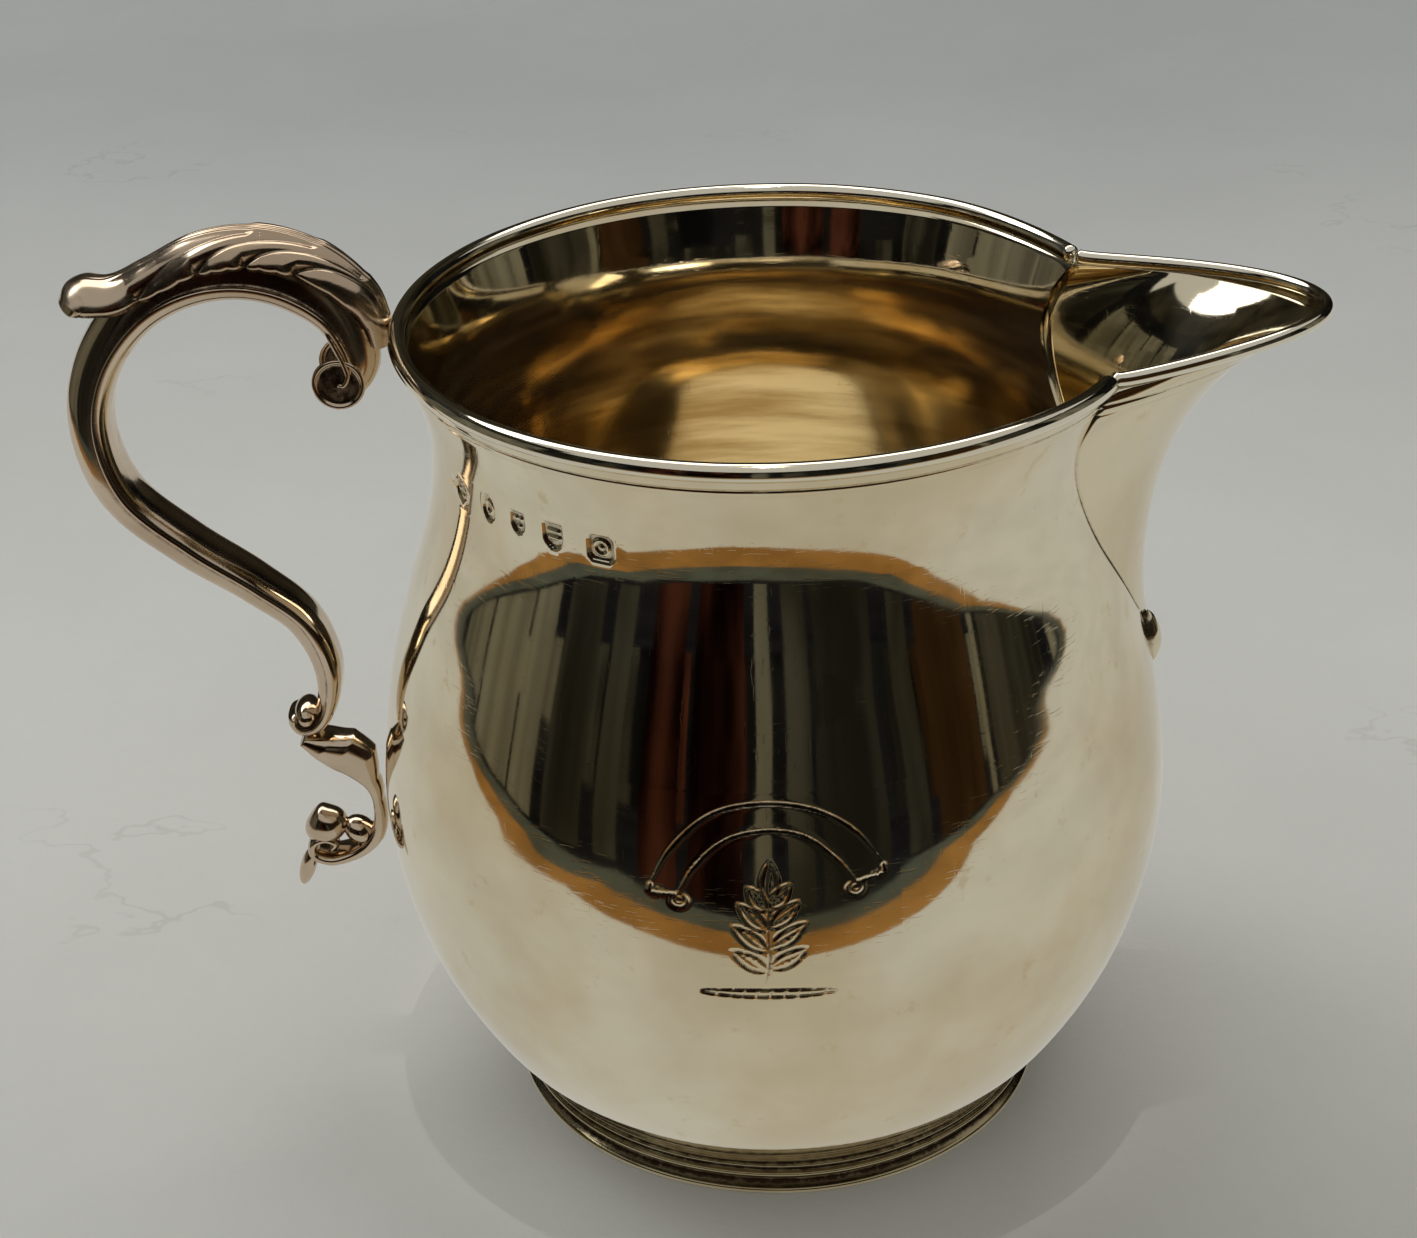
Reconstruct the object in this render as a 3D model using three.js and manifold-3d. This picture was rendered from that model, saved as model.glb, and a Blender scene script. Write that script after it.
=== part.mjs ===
// A silver cream jug: raised body on a foot ring, V-shaped spout let into the wall,
// leaf-capped scroll handle that stands on a small bracket scroll. Millimetres, +Z up.
// The spout points along +X, the handle along -X, and the jug stands on z = 0.
import * as THREE from 'three';
import { LoftGeometry } from 'three/addons/geometries/LoftGeometry.js';
import { mergeVertices } from 'three/addons/utils/BufferGeometryUtils.js';
import Module from 'manifold-3d';

const wasm = await Module();
wasm.setup();

// Driving sizes. SOLDER_GAP is what a piece keeps clear of the neighbour it is soldered to.
const WALL = 0.9;
const SOLDER_GAP = 0.3;
const ROUND_SIDES = 64;

// Body and foot, turned about the jug's own axis.
const BASE_HEIGHT = 3.6;
const BASE_RADIUS = 26.0;
const BELLY_RADIUS = 42.2;
const BELLY_HEIGHT = 35.4;
const NECK_RADIUS = 34.35;
const NECK_HEIGHT = 75.8;
const LIP_RADIUS = 37.0;
const LIP_HEIGHT = 87.6;
const FOOT_RADIUS = 29.3;
const FOOT_INNER_RADIUS = 26.4;
const FOOT_HEIGHT = 4.6;

// Rim wire: round, and flat underneath where it sits on the lip.
const WIRE_RADIUS = 0.95;
const WIRE_HEIGHT = 88.4;
const RIM_RADIUS = 36.9;

// Spout.
const SPOUT_REACH = 57.0;
const SPOUT_HALF_WIDTH = 16.8;
const SPOUT_WIRE_RADIUS = 0.85;
const SPOUT_FOOT_HEIGHT = 54.5;
const OPENING_RISE = 3;
const SPOUT_LEVELS = 12;
const SPOUT_SIDES = 9;
const OVER_LIP = 3; // how far cutting solids pass the lip

// Handle, in the plane y = 0.
const HANDLE_REACH = 71.9;
const STRAP_HALF_WIDTH = 3.4;
const STRAP_BULGE = 1.7;
const LEAF_THICKNESS = 1.0;

// The jug's own axis stands off the origin, so that the origin is under the middle of the whole.
const AXIS_X = (HANDLE_REACH - SPOUT_REACH) / 2;

const silver = (color, roughness) => new THREE.MeshStandardMaterial({ color, roughness, metalness: 1 });

function solidOf(geometry) {
  const bare = new THREE.BufferGeometry();
  bare.setAttribute('position', geometry.attributes.position);
  bare.setIndex(geometry.index);
  const merged = mergeVertices(bare, 1e-4);
  const corners = merged.index.array;
  const triangles = [];
  for (let i = 0; i < corners.length; i += 3) {
    const [a, b, c] = corners.slice(i, i + 3);
    if (a !== b && b !== c && c !== a) triangles.push(a, b, c);
  }
  return new wasm.Manifold(new wasm.Mesh({
    numProp: 3,
    vertProperties: merged.attributes.position.array,
    triVerts: Uint32Array.from(triangles),
  }));
}

function piece(name, solid, material) {
  const { vertProperties, triVerts } = solid.getMesh();
  const geometry = new THREE.BufferGeometry();
  geometry.setAttribute('position', new THREE.BufferAttribute(vertProperties, 3));
  geometry.setIndex(new THREE.BufferAttribute(triVerts, 1));
  geometry.computeVertexNormals();
  const mesh = new THREE.Mesh(geometry, material);
  mesh.name = name;
  return mesh;
}

// A turned solid from [radius, height] points that close on themselves or on the axis.
function turned(profile, sides = ROUND_SIDES) {
  const points = profile.map(([radius, height]) => new THREE.Vector2(radius, height));
  return solidOf(new THREE.LatheGeometry(points, sides).rotateX(Math.PI / 2));
}

const lofted = (sections) => solidOf(new LoftGeometry(sections, { capStart: true, capEnd: true }));

// A solid along a flat curve in the plane y = 0. section(place) lists [out, across] points, and
// out is the side that faces away from the curve's hollow when it runs from right to left.
function swept(curve, section, steps) {
  const sections = [];
  for (let step = 0; step <= steps; step++) {
    const place = step / steps;
    const point = curve.getPointAt(place);
    const tangent = curve.getTangentAt(place);
    sections.push(section(place).map(([out, across]) =>
      new THREE.Vector3(point.x + tangent.z * out, across, point.z - tangent.x * out)));
  }
  return lofted(sections);
}

const flatCurve = (points) =>
  new THREE.CatmullRomCurve3(points.map(([x, z]) => new THREE.Vector3(x, 0, z)), false, 'centripetal');

// The value at a place of 0..1 along a list of evenly spaced values.
function graded(values, place) {
  const spot = place * (values.length - 1);
  const low = Math.min(Math.floor(spot), values.length - 2);
  return THREE.MathUtils.lerp(values[low], values[low + 1], spot - low);
}

// An oval section that is deeper on its outer side than on its inner side.
function ovalSection(outer, inner, halfWidth, sides) {
  return Array.from({ length: sides }, (_, i) => {
    const angle = (i / sides) * 2 * Math.PI;
    const depth = Math.cos(angle) > 0 ? outer : inner;
    return [depth * Math.cos(angle), halfWidth * Math.sin(angle)];
  });
}

// ---- Body ----

const bodyOutline = new THREE.SplineCurve([
  [29.4, FOOT_HEIGHT], [34.6, 11.6], [39.6, 22.2], [BELLY_RADIUS, BELLY_HEIGHT], [40.8, 48.6],
  [37.9, 59.8], [35.1, 69.4], [NECK_RADIUS, NECK_HEIGHT], [34.85, 81.2], [LIP_RADIUS, LIP_HEIGHT],
].map(([radius, height]) => new THREE.Vector2(radius, height)));
const bodyPoints = bodyOutline.getPoints(18).map(({ x, y }) => [x, y]);

function bodyRadius(height) {
  const above = Math.max(1, bodyPoints.findIndex(([, z]) => z >= height));
  const [r0, z0] = bodyPoints[above - 1];
  const [r1, z1] = bodyPoints[above];
  return THREE.MathUtils.mapLinear(height, z0, z1, r0, r1);
}

const grownBody = turned([
  [0, BASE_HEIGHT - SOLDER_GAP],
  [BASE_RADIUS, BASE_HEIGHT - SOLDER_GAP],
  ...bodyPoints.map(([radius, height]) => [radius + SOLDER_GAP, height]),
  [LIP_RADIUS + SOLDER_GAP, LIP_HEIGHT + OVER_LIP],
  [0, LIP_HEIGHT + OVER_LIP],
]);

function bodyShell() {
  const inside = bodyPoints.map(([radius, height]) => [radius - WALL, height]).reverse();
  inside.pop();
  const blank = turned([
    [0, BASE_HEIGHT],
    [BASE_RADIUS, BASE_HEIGHT],
    ...bodyPoints,
    ...inside,
    [BASE_RADIUS, BASE_HEIGHT + WALL],
    [0, BASE_HEIGHT + WALL],
  ]);
  return blank.subtract(spoutOpening());
}

// A moulded ring: a square edge, a hollow, a bead, a second hollow and a thread under the body.
function footRing() {
  return turned([
    [FOOT_INNER_RADIUS, 0],
    [FOOT_RADIUS, 0],
    [FOOT_RADIUS, 0.8],
    [FOOT_RADIUS - 0.9, 1.6],
    [FOOT_RADIUS - 0.2, 2.3],
    [FOOT_RADIUS - 0.8, 3.0],
    [FOOT_RADIUS + 0.1, 3.8],
    [FOOT_RADIUS + 0.2, FOOT_HEIGHT],
    [FOOT_INNER_RADIUS, FOOT_HEIGHT],
    [FOOT_INNER_RADIUS, 0],
  ]).subtract(grownBody);
}

// ---- Rim and spout ----

// A wire's round section as [up, outward] about its centre, cut flat at the height of the lip.
function wireSection(radius, sides = 9) {
  const flat = Math.asin((WIRE_HEIGHT - LIP_HEIGHT) / radius);
  return Array.from({ length: sides + 1 }, (_, i) => {
    const angle = Math.PI + flat - (i / sides) * (Math.PI + 2 * flat);
    return [radius * Math.sin(angle), radius * Math.cos(angle)];
  });
}

// One side of the spout's plan, from the body (x = 0) to the tip (x = 1).
const spoutPlan = new THREE.CubicBezierCurve(
  new THREE.Vector2(0, 1),
  new THREE.Vector2(0.46, 0.78),
  new THREE.Vector2(1, 0.42),
  new THREE.Vector2(1, 0),
);

// The beak line (reach) and the seam line (half width) against height, foot to lip.
const beakLine = new THREE.CubicBezierCurve(
  new THREE.Vector2(39.9, SPOUT_FOOT_HEIGHT),
  new THREE.Vector2(38.2, 61),
  new THREE.Vector2(38.4, 85.5),
  new THREE.Vector2(SPOUT_REACH - 0.4, LIP_HEIGHT),
);
const seamLine = new THREE.CubicBezierCurve(
  new THREE.Vector2(1.5, SPOUT_FOOT_HEIGHT),
  new THREE.Vector2(7, 56),
  new THREE.Vector2(22.5, 84),
  new THREE.Vector2(SPOUT_HALF_WIDTH, LIP_HEIGHT),
);

// The x of a rising curve at a height.
function acrossAt(curve, height) {
  let low = 0;
  let high = 1;
  while (high - low > 1e-6) {
    const middle = (low + high) / 2;
    if (curve.getPoint(middle).y < height) low = middle;
    else high = middle;
  }
  return curve.getPoint(low).x;
}

// The plan of the spout at a height as points on the right side, root to tip, drawn in by inset.
function spoutSide(height, inset, sides) {
  const halfWidth = acrossAt(seamLine, Math.min(height, LIP_HEIGHT)) - inset;
  const reach = acrossAt(beakLine, Math.min(height, LIP_HEIGHT)) - inset;
  const root = Math.sqrt(bodyRadius(Math.min(height, LIP_HEIGHT)) ** 2 - halfWidth ** 2);
  return spoutPlan.getPoints(sides).map(({ x, y }) => [root + x * (reach - root), -y * halfWidth]);
}

// The spout as a solid block that runs back into the body, drawn in by inset on every side.
function spoutBlank(inset, top) {
  const bottom = SPOUT_FOOT_HEIGHT + 2 * inset;
  const heights = Array.from({ length: SPOUT_LEVELS + 1 }, (_, i) =>
    THREE.MathUtils.lerp(bottom, LIP_HEIGHT, i / SPOUT_LEVELS));
  if (top > LIP_HEIGHT) heights.push(top);
  return lofted(heights.map((height) => {
    const right = spoutSide(height, inset, SPOUT_SIDES);
    const left = right.slice(0, -1).reverse().map(([x, y]) => [x, -y]);
    const [rootX, rootY] = right[0];
    const back = rootX - 3 - 0.5 * Math.abs(rootY);
    return [[back, rootY], ...right, ...left, [back, -rootY]]
      .map(([x, y]) => new THREE.Vector3(x, y, height));
  }));
}

// The hole in the body's wall inside the spout, open at the lip.
function spoutOpening() {
  const heights = [...[0, 0.08, 0.25, 0.5, 0.8, 1].map((t) =>
    THREE.MathUtils.lerp(SPOUT_FOOT_HEIGHT + OPENING_RISE, LIP_HEIGHT, t)), LIP_HEIGHT + OVER_LIP];
  return lofted(heights.map((height) => {
    const belowLip = Math.max(LIP_HEIGHT - height, 0);
    const seamHeight = LIP_HEIGHT - belowLip * (1 + OPENING_RISE / LIP_HEIGHT);
    const halfWidth = Math.max(acrossAt(seamLine, seamHeight) - WALL, 0.5);
    return [[NECK_RADIUS / 2, -halfWidth], [BELLY_RADIUS, -halfWidth], [BELLY_RADIUS, halfWidth],
      [NECK_RADIUS / 2, halfWidth]].map(([x, y]) => new THREE.Vector3(x, y, height));
  }));
}

const spoutShell = () =>
  spoutBlank(0, LIP_HEIGHT).subtract(spoutBlank(WALL, LIP_HEIGHT + OVER_LIP)).subtract(grownBody);

// The wire along the lip of the spout, with its ends just clear of the body's rim wire.
function spoutWire() {
  const right = spoutSide(LIP_HEIGHT, SPOUT_WIRE_RADIUS - 0.4, 14).slice(1);
  const left = right.slice(0, -1).reverse().map(([x, y]) => [x, -y]);
  const line = [...right, ...left].map(([x, y]) => new THREE.Vector3(x, y, WIRE_HEIGHT));
  const section = wireSection(SPOUT_WIRE_RADIUS);
  return lofted(line.map((point, i) => {
    const ahead = line[Math.min(i + 1, line.length - 1)];
    const behind = line[Math.max(i - 1, 0)];
    const travel = ahead.clone().sub(behind).normalize();
    return section.map(([up, outward]) =>
      new THREE.Vector3(point.x + travel.y * outward, point.y - travel.x * outward, point.z + up));
  }));
}

// The body's rim wire, open where the spout's wire takes over.
function rimWire() {
  const section = wireSection(WIRE_RADIUS).reverse();
  const ring = turned([...section, section[0]].map(([up, outward]) => [RIM_RADIUS + outward, WIRE_HEIGHT + up]));
  const [cornerX, cornerY] = spoutSide(LIP_HEIGHT, 0, 14)[0];
  const wedge = new THREE.Shape([
    new THREE.Vector2(0, 0),
    new THREE.Vector2(2 * cornerX, 2 * cornerY),
    new THREE.Vector2(2 * cornerX, -2 * cornerY),
  ]);
  const cutter = new THREE.ExtrudeGeometry(wedge, { depth: 2 * OVER_LIP, bevelEnabled: false });
  return ring.subtract(solidOf(cutter.translate(0, 0, LIP_HEIGHT - OVER_LIP)));
}

// The cast drop that covers the spout's lowest point.
function spoutDrop() {
  const drop = new THREE.SplineCurve([[0, 2.7], [1.0, 2.2], [1.6, 0.6], [1.3, -1.4], [0.5, -2.9], [0, -3.5]]
    .map(([radius, height]) => new THREE.Vector2(radius, height)));
  const profile = drop.getPoints(12).reverse().map(({ x, y }) => [Math.max(x, 0), y]);
  const shaped = turned(profile, 16).translate([40.0, -0.8, 51.8]);
  return shaped.subtract(grownBody).subtract(spoutBlank(-SOLDER_GAP, LIP_HEIGHT));
}

// ---- Handle ----

// The line of the strap's edges, from the heart of the upper volute to the lower end.
const handleCurve = flatCurve([
  [-42.9, 82.8], [-41.8, 85.6], [-43.4, 89.4], [-47.8, 92.4], [-52.5, 93.5], [-57.5, 92.8],
  [-62.6, 90.0], [-66.8, 84.6], [-68.5, 78.2], [-66.5, 70.6], [-60.6, 64.6], [-54.0, 59.6],
  [-49.2, 55.2], [-47.3, 50.0], [-47.5, 46.0], [-49.0, 43.2], [-50.6, 43.2],
]);
const ribHeights = [2.5, 3.0, 4.4, 4.6, 4.4, 3.6, 3.4, 3.4, 3.3, 3.2, 3.0, 2.8, 2.4, 2.0, 0.9];

function handleBlank(grow) {
  return swept(handleCurve, (place) => {
    const rib = graded(ribHeights, place) + grow;
    const bulge = graded([1.0, STRAP_BULGE, STRAP_BULGE, STRAP_BULGE, 1.2], place) + grow;
    return ovalSection(rib, bulge, graded([3.2, STRAP_HALF_WIDTH, 2.7], place) + grow, 12);
  }, 56);
}

// A roll across the strap, at the heart of each of its curled ends.
const strapRoll = (x, z, radius, halfWidth) =>
  solidOf(new THREE.CylinderGeometry(radius, radius, 2 * halfWidth, 16).translate(x, 0, z));

function handleWithRolls(grow) {
  return handleBlank(grow)
    .add(strapRoll(-42.9, 83.2, 2.6 + grow, 3.3 + grow))
    .add(strapRoll(-50.4, 43.3, 1.5 + grow, 2.6 + grow));
}

const handleScroll = () => handleWithRolls(0);
const grownHandle = handleWithRolls(SOLDER_GAP);

// The leaf that caps the arch: a curved shell with a flared thumb tip.
const leafCurve = flatCurve([
  [-38.2, 89.4], [-38.7, 92.2], [-40.6, 95.0], [-43.8, 97.4], [-48.2, 99.0], [-52.5, 99.4],
  [-57.2, 98.4], [-62.2, 95.9], [-65.8, 94.4], [-68.8, 94.5], [-70.4, 93.6],
]);

function leafCap() {
  const widths = [2.0, 2.9, 3.6, 3.7, 3.7, 3.6, 3.3, 3.1, 3.5];
  const spread = THREE.MathUtils.degToRad(75);
  const rows = 8;
  const blank = swept(leafCurve, (place) => {
    const width = graded(widths, place);
    const drop = graded([1.6, 3.2, 3.4, 3.4, 3.2, 2.0], place);
    const arc = Array.from({ length: rows + 1 }, (_, i) => THREE.MathUtils.lerp(-spread, spread, i / rows));
    const outer = arc.map((angle) => [drop * (Math.cos(angle) - 1), width * Math.sin(angle)]);
    const inner = arc.map((angle) => [drop * (Math.cos(angle) - 1) - LEAF_THICKNESS,
      (width - 0.4) * Math.sin(angle)]).reverse();
    return [...outer, ...inner];
  }, 28);
  return blank.subtract(grownHandle);
}

// The bracket scroll between the handle's lower end and the belly.
const bracketCurve = flatCurve([
  [-51.0, 40.5], [-48.4, 38.3], [-45.9, 36.4], [-44.0, 34.0], [-43.5, 31.4], [-43.8, 28.8],
  [-45.0, 26.9], [-47.0, 25.6], [-49.4, 25.1], [-51.1, 26.1],
]);

// Its arm is thick on the upper side, where it fills the corner towards the belly.
function bracketBlank(grow) {
  return swept(bracketCurve, (place) => {
    const lower = graded([0.6, 0.8, 0.8, 0.7, 0.7, 0.7, 0.7], place) + grow;
    const upper = graded([1.0, 3.0, 2.6, 0.9, 0.8, 0.8, 0.7], place) + grow;
    return ovalSection(lower, upper, graded([2.6, 2.6, 2.0, 1.9, 1.8], place) + grow, 10);
  }, 26);
}

const bracketScroll = () => bracketBlank(0).subtract(grownHandle).subtract(grownBody);
const grownBracket = bracketBlank(SOLDER_GAP);

// The bud that sits in the lower curl, and the drop that hangs from the curl's end.
function bracketBud() {
  const bud = new THREE.SphereGeometry(2.3, 16, 12);
  return solidOf(bud.translate(-49.6, 0, 29.0)).subtract(grownBracket);
}

function bracketTail() {
  const tail = new THREE.SphereGeometry(1, 12, 8).scale(1.0, 1.0, 2.3).rotateY(THREE.MathUtils.degToRad(18));
  return solidOf(tail.translate(-52.3, 0, 23.5)).subtract(grownBracket);
}

// ---- The jug ----

const jug = new THREE.Group();
jug.position.x = AXIS_X;
jug.add(
  piece('body_shell', bodyShell(), silver(0xaaa082, 0.12)),
  piece('foot_ring', footRing(), silver(0x8d7a55, 0.2)),
  piece('rim_wire', rimWire(), silver(0xb4aa8e, 0.12)),
  piece('spout', spoutShell(), silver(0xa8a086, 0.12)),
  piece('spout_rim_wire', spoutWire(), silver(0xb4aa8e, 0.12)),
  piece('spout_drop', spoutDrop(), silver(0x9c9070, 0.18)),
  piece('handle_scroll', handleScroll(), silver(0x7d6747, 0.16)),
  piece('handle_leaf', leafCap(), silver(0x9a8a6c, 0.22)),
  piece('bracket_scroll', bracketScroll(), silver(0x7d6747, 0.18)),
  piece('bracket_bud', bracketBud(), silver(0x8d7a5a, 0.16)),
  piece('bracket_tail', bracketTail(), silver(0x8d7a5a, 0.18)),
);

const model = new THREE.Group();
model.add(jug);
export default model;
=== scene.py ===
"""Looks of the silver cream jug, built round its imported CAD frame.

Shapes are worked out in millimetres about the jug's own axis, with +Z up, the spout along +X,
the handle along -X and the engraved side facing -Y. place() moves them into the row frame.
"""
import math

import bmesh
import bpy
import numpy as np
from mathutils import Matrix, Vector, kdtree


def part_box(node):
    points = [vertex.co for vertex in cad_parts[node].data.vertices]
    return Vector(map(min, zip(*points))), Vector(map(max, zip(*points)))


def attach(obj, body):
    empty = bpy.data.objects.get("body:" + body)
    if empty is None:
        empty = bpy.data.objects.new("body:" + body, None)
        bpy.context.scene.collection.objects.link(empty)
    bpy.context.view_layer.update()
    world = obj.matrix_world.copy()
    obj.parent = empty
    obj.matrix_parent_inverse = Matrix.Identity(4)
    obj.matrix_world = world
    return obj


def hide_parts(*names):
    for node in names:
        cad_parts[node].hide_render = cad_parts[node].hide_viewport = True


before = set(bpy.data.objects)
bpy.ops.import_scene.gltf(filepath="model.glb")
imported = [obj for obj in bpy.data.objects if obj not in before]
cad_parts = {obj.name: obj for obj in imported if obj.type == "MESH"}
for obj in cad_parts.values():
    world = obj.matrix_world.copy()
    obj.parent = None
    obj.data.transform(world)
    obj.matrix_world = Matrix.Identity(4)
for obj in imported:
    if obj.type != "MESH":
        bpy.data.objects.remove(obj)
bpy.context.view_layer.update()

MM = 0.001
dice = np.random.default_rng(7)

# ---- Sizes from the frame ----

body_low, body_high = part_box("body_shell")
foot_low, foot_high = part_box("foot_ring")
_, rim_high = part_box("rim_wire")
AXIS_X = (body_low.x + body_high.x) / 2 / MM
INSIDE = 0.1  # keeps the looks within the CAD's box
BELLY_RADIUS = (body_high.y - body_low.y) / 2 / MM - INSIDE
LIP_HEIGHT = body_high.z / MM
FOOT_RADIUS = (foot_high.y - foot_low.y) / 2 / MM - 2 * INSIDE
FOOT_HEIGHT = foot_high.z / MM
RIM_TOP = rim_high.z / MM

# ---- Other sizes, as the CAD has them ----

WALL = 0.9
BASE_HEIGHT = 3.6
BASE_RADIUS = 26.0
BELLY_HEIGHT = 35.4
LIP_RADIUS = 37.0
WIRE_RADIUS = 0.95
RIM_RADIUS = 36.9
WIRE_HEIGHT = RIM_TOP - WIRE_RADIUS
SPOUT_FOOT_HEIGHT = 54.5
SPOUT_HALF_WIDTH = 16.8
SPOUT_REACH = 57.0
SPOUT_WIRE_RADIUS = 0.75


# ---- Curves and fields ----

def smooth_line(points, count):
    """A smooth line through points of any dimension, as count evenly spaced points."""
    p = np.array(points, float)
    p = np.vstack([2 * p[0] - p[1], p, 2 * p[-1] - p[-2]])
    knots = np.concatenate([[0], np.cumsum(np.sqrt(np.linalg.norm(np.diff(p, axis=0), axis=1)))])
    line = []
    for i in range(1, len(p) - 2):
        t0, t1, t2, t3 = knots[i - 1:i + 3]
        t = np.linspace(t1, t2, 33)[:, None]
        a = (p[i - 1] * (t1 - t) + p[i] * (t - t0)) / (t1 - t0)
        b = (p[i] * (t2 - t) + p[i + 1] * (t - t1)) / (t2 - t1)
        c = (p[i + 1] * (t3 - t) + p[i + 2] * (t - t2)) / (t3 - t2)
        d = (a * (t2 - t) + b * (t - t0)) / (t2 - t0)
        e = (b * (t3 - t) + c * (t - t1)) / (t3 - t1)
        line.append((d * (t2 - t) + e * (t - t1)) / (t2 - t1))
    line = np.vstack([part[:-1] for part in line] + [line[-1][-1:]])
    along = run_length(line)
    wanted = np.linspace(0, along[-1], count)
    return np.stack([np.interp(wanted, along, column) for column in line.T], axis=1)


def run_length(line):
    """Distance along a line to each of its points."""
    return np.concatenate([[0], np.cumsum(np.linalg.norm(np.diff(line, axis=0), axis=1))])


def headings(line):
    """The unit direction of a line at each of its points."""
    ahead = np.gradient(line, axis=0)
    return ahead / np.linalg.norm(ahead, axis=1)[:, None]


def hump(offset, width):
    """A bell of height 1 round an offset of zero."""
    return np.exp(-(offset / width) ** 2)


def bezier(points, count=80):
    """A cubic curve from its end and control points."""
    p0, p1, p2, p3 = (np.array(p, float) for p in points)
    t = np.linspace(0, 1, count)[:, None]
    return (1 - t) ** 3 * p0 + 3 * (1 - t) ** 2 * t * p1 + 3 * (1 - t) * t ** 2 * p2 + t ** 3 * p3


def graded(values, where):
    """The value at each place of 0..1 along a list of evenly spaced values."""
    return np.interp(where, np.linspace(0, 1, len(values)), values)


def smoothstep(low, high, value):
    """0..1 as the value goes from low to high, easing in and out."""
    t = np.clip((np.asarray(value, float) - low) / (high - low), 0, 1)
    return t * t * (3 - 2 * t)


def stretches(*parts):
    """Rising values from (start, end, step) stretches that follow on from each other."""
    runs = [np.linspace(a, b, max(2, round(abs(b - a) / step) + 1))[:-1] for a, b, step in parts]
    return np.concatenate(runs + [[parts[-1][1]]])


class Waves:
    """A smooth seeded field of soft swells, mostly within -1..1."""

    def __init__(self, shortest, longest, count=14):
        length = dice.uniform(shortest, longest, count)
        heading = dice.normal(size=(count, 3))
        heading /= np.linalg.norm(heading, axis=1)[:, None]
        self.pull = heading * (2 * math.pi / length)[:, None]
        self.start = dice.uniform(0, 2 * math.pi, count)

    def __call__(self, points):
        return np.sin(points @ self.pull.T + self.start).sum(-1) / math.sqrt(len(self.start))


# ---- Mesh making ----

WELD_DISTANCE = 0.002


def place(points):
    """Points in millimetres about the jug's axis, as metres in the row frame."""
    return (np.asarray(points, float).reshape(-1, 3) + [AXIS_X, 0, 0]) * MM


def link(name, data):
    """A new object of the scene."""
    obj = bpy.data.objects.new(name, data)
    bpy.context.scene.collection.objects.link(obj)
    return obj


class Shape:
    """Surfaces of points in millimetres, each with three values of 0..1: cavity where grime and tarnish lie
    and where shade is painted, gilt where it is golden, and satin where it is softly frosted."""

    def __init__(self):
        self.points, self.faces = [], []
        self.values = {"cavity": [], "gilt": [], "satin": []}
        self.count = 0

    def add(self, points, faces, cavity=0.0, gilt=0.0, satin=0.0):
        points = np.asarray(points, float).reshape(-1, 3)
        self.points.append(points)
        for key, value in (("cavity", cavity), ("gilt", gilt), ("satin", satin)):
            value = np.ravel(value)
            self.values[key].append(np.broadcast_to(value, len(points)) if len(value) == 1 else value)
        self.faces += [[self.count + i for i in face] for face in faces]
        self.count += len(points)

    def sheet(self, grid, around=False, cavity=0.0, gilt=0.0, satin=0.0):
        """A grid of rows x columns points; around joins the last column to the first."""
        rows, columns = grid.shape[:2]
        index = np.arange(rows * columns).reshape(rows, columns)
        if around:
            index = np.hstack([index, index[:, :1]])
        quads = np.stack([index[:-1, :-1], index[:-1, 1:], index[1:, 1:], index[1:, :-1]], axis=-1)
        self.add(grid, quads.reshape(-1, 4).tolist(), cavity, gilt, satin)

    def cap(self, ring):
        """A fan over a closed ring of points."""
        n = len(ring)
        self.add(np.vstack([ring, ring.mean(axis=0)]), [[i, (i + 1) % n, n] for i in range(n)])

    def finish(self, name, material, node):
        """Makes the piece, and puts it in the place of its CAD node."""
        mesh = bpy.data.meshes.new(name)
        mesh.from_pydata(place(np.vstack(self.points)).tolist(), [], self.faces)
        for key, values in self.values.items():
            layer = mesh.attributes.new(key, "FLOAT", "POINT")
            layer.data.foreach_set("value", np.concatenate(values).astype(np.float32))
        work = bmesh.new()
        work.from_mesh(mesh)
        bmesh.ops.remove_doubles(work, verts=work.verts, dist=WELD_DISTANCE * MM)
        bmesh.ops.dissolve_degenerate(work, edges=work.edges, dist=WELD_DISTANCE / 2 * MM)
        bmesh.ops.recalc_face_normals(work, faces=work.faces)
        for face in work.faces:
            face.smooth = True
        work.to_mesh(mesh)
        work.free()
        mesh.materials.append(material)
        piece = link(name, mesh)
        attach(piece, "root")
        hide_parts(node)


def swept(line, sections):
    """Sections of [out, across] points carried along a line of [x, z] points in the plane y = 0."""
    ahead = headings(line)
    out, across = sections[..., 0], sections[..., 1]
    x = line[:, :1] + ahead[:, 1:] * out
    z = line[:, 1:] - ahead[:, :1] * out
    return np.stack([x, across, z], axis=-1)


def tube(line, radii, sides=20):
    """A round tube along a line of 3-D points that lies almost level."""
    ahead = headings(line)
    side = np.cross(ahead, [0, 0, 1])
    side /= np.linalg.norm(side, axis=1)[:, None]
    up = np.cross(side, ahead)
    angle = np.linspace(0, 2 * math.pi, sides, endpoint=False)
    reach = np.asarray(radii, float)[:, None, None]
    return (line[:, None] + reach * (np.cos(angle)[None, :, None] * side[:, None]
                                     + np.sin(angle)[None, :, None] * up[:, None]))


def lathe(profile, sides):
    """Grids of angle, radius and height over a turned profile of [radius, height] points."""
    a, r = np.meshgrid(np.linspace(0, 2 * math.pi, sides, endpoint=False), profile[:, 0])
    return a, r, np.broadcast_to(profile[:, 1:], a.shape)


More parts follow.
